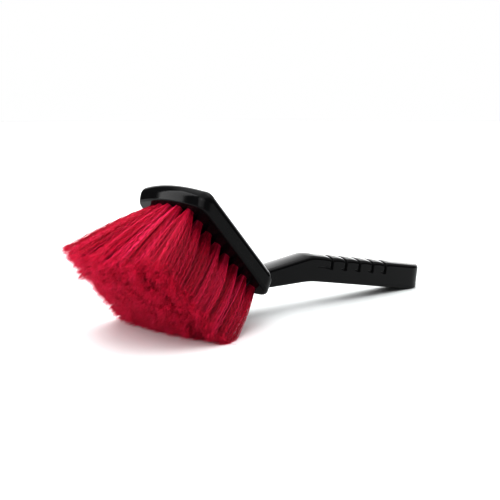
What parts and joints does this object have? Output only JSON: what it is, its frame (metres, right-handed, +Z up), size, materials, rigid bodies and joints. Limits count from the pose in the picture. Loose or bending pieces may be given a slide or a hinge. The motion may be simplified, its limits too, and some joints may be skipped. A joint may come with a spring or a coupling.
{
  "type": "wheel brush",
  "caption": "Hand brush for washing wheels: flat tilted head full of long flared bristle tufts, bent neck and a ribbed grip moulded in one piece.",
  "frame": {"origin": "on the floor, below the middle of the brush's bounding box, with the brush lying on its last row of bristle tips and on the end of its grip", "axes": "+X from the nose of the head to the end of the grip, +Y across the brush to its left side, +Z up"},
  "size_m": [0.3464, 0.1192, 0.1066],
  "materials": {
    "block_plastic": "satin",
    "filament": "satin",
    "anchor_wire": "satin"
  },
  "bodies": {
    "root": {"brush_block": "block_plastic", "tuft_row1_col1": "filament", "tuft_row1_col2": "filament", "tuft_row1_col3": "filament", "tuft_row1_col4": "filament", "tuft_row1_col5": "filament", "tuft_row2_col1": "filament", "tuft_row2_col2": "filament", "tuft_row2_col3": "filament", "tuft_row2_col4": "filament", "tuft_row2_col5": "filament", "tuft_row3_col1": "filament", "tuft_row3_col2": "filament", "tuft_row3_col3": "filament", "tuft_row3_col4": "filament", "tuft_row3_col5": "filament", "tuft_row4_col1": "filament", "tuft_row4_col2": "filament", "tuft_row4_col3": "filament", "tuft_row4_col4": "filament", "tuft_row4_col5": "filament", "tuft_row5_col1": "filament", "tuft_row5_col2": "filament", "tuft_row5_col3": "filament", "tuft_row5_col4": "filament", "tuft_row5_col5": "filament", "tuft_row6_col1": "filament", "tuft_row6_col2": "filament", "tuft_row6_col3": "filament", "tuft_row6_col4": "filament", "tuft_row6_col5": "filament", "tuft_row7_col1": "filament", "tuft_row7_col2": "filament", "tuft_row7_col3": "filament", "tuft_row7_col4": "filament", "tuft_row7_col5": "filament", "tuft_row8_col1": "filament", "tuft_row8_col2": "filament", "tuft_row8_col3": "filament", "tuft_row8_col4": "filament", "tuft_row8_col5": "filament"}
  },
  "joints": []
}
